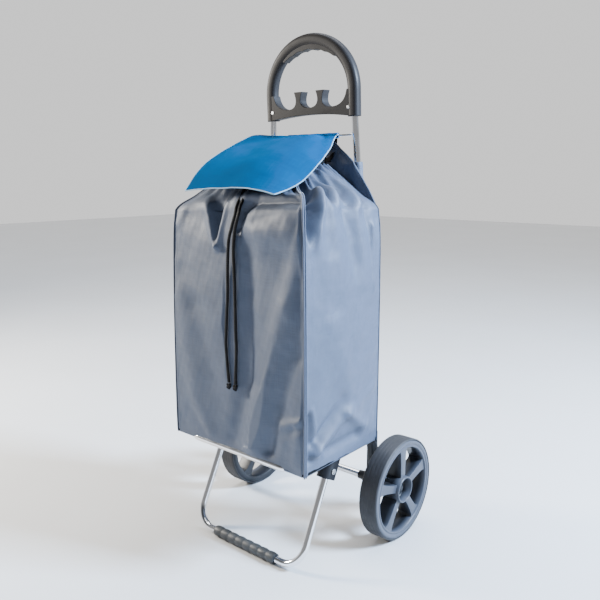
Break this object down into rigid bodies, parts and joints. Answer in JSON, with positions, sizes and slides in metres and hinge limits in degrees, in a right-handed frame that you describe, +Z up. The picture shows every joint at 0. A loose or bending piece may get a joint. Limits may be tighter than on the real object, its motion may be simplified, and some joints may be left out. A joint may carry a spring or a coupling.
{
  "type": "shopping trolley",
  "caption": "Two-wheeled shopping trolley: fabric bag with lid flap on a folding platform and stand leg, tall frame with loop handle and carrier hooks.",
  "frame": {"origin": "middle of the footprint, on the floor", "axes": "+Z up along the frame, +X to the trolley's right seen from the front with the bag towards the viewer, -Y towards the front of the bag"},
  "size_m": [0.4374, 0.377, 1],
  "materials": {
    "chrome": "bright chrome-plated tube",
    "steel": "zinc-plated steel",
    "charcoal": "satin charcoal moulding",
    "bracket": "black satin moulding",
    "rim": "light grey-blue satin moulding",
    "tyre": "dark grey matt rubber",
    "grip": "black ribbed rubber sleeve",
    "slate": "slate grey woven polyester",
    "lining": "black coated lining",
    "blue": "blue woven polyester with a pale bound edge",
    "board": "dark stiffening board",
    "cord": "black braided cord"
  },
  "bodies": {
    "frame": {"upright_left": "chrome", "upright_right": "chrome", "cross_wire": "chrome", "axle": "chrome", "handle": "charcoal", "handle_screw_left": "steel", "handle_screw_right": "steel", "axle_cap_left": "steel", "axle_cap_right": "steel", "platform_pin_left": "steel", "platform_pin_right": "steel", "rear_bracket_left": "bracket", "rear_bracket_right": "bracket", "wheel_bush_left": "bracket", "wheel_bush_right": "bracket", "bag_front": "slate", "bag_back": "slate", "bag_left": "slate", "bag_right": "slate", "bag_gather_front": "slate", "bag_gather_back": "slate", "bag_gather_left": "slate", "bag_gather_right": "slate", "bag_bottom": "slate", "bag_yoke": "slate", "bag_sleeve_left": "slate", "bag_sleeve_right": "slate", "mouth_collar": "lining", "base_board": "board", "drawcord_left": "cord", "drawcord_right": "cord", "drawcord_knot_left": "cord", "drawcord_knot_right": "cord"},
    "wheel_left": {"wheel_rim_left": "rim", "wheel_spider_left": "rim", "tyre_left": "tyre"},
    "wheel_right": {"wheel_rim_right": "rim", "wheel_spider_right": "rim", "tyre_right": "tyre"},
    "platform": {"platform_tube": "chrome", "support_wire_rear": "chrome", "support_wire_front": "chrome", "front_bracket_left": "bracket", "front_bracket_right": "bracket", "leg_pin_left": "steel", "leg_pin_right": "steel"},
    "leg": {"leg_tube": "chrome", "foot_grip": "grip"},
    "flap": {"flap": "blue"}
  },
  "joints": [
    {"name": "wheel_spin_left", "type": "hinge", "parent": "frame", "child": "wheel_left", "pos_m": [-0.1955, 0.0845, 0.104], "axis": [1, 0, 0], "continuous": true},
    {"name": "wheel_spin_right", "type": "hinge", "parent": "frame", "child": "wheel_right", "pos_m": [0.1955, 0.0845, 0.104], "axis": [1, 0, 0], "continuous": true},
    {"name": "platform_fold", "type": "hinge", "parent": "frame", "child": "platform", "pos_m": [0, 0.0225, 0.212], "axis": [-1, 0, 0], "range_deg": [0, 86], "deforming": ["bag_front", "bag_back", "bag_left", "bag_right", "bag_gather_front", "bag_gather_back", "bag_gather_left", "bag_gather_right", "bag_bottom", "bag_yoke", "bag_sleeve_left", "bag_sleeve_right", "mouth_collar", "base_board", "drawcord_left", "drawcord_right", "drawcord_knot_left", "drawcord_knot_right"]},
    {"name": "leg_fold", "type": "hinge", "parent": "platform", "child": "leg", "pos_m": [0, -0.0735, 0.181], "axis": [1, 0, 0], "range_deg": [0, 115]},
    {"name": "flap_lift", "type": "hinge", "parent": "frame", "child": "flap", "pos_m": [0, 0.05139, 0.80602], "axis": [-1, 0, 0], "range_deg": [0, 62]}
  ],
  "couplings": [
    {"joint": "leg_fold", "follows": "platform_fold", "ratio": 1.33}
  ]
}
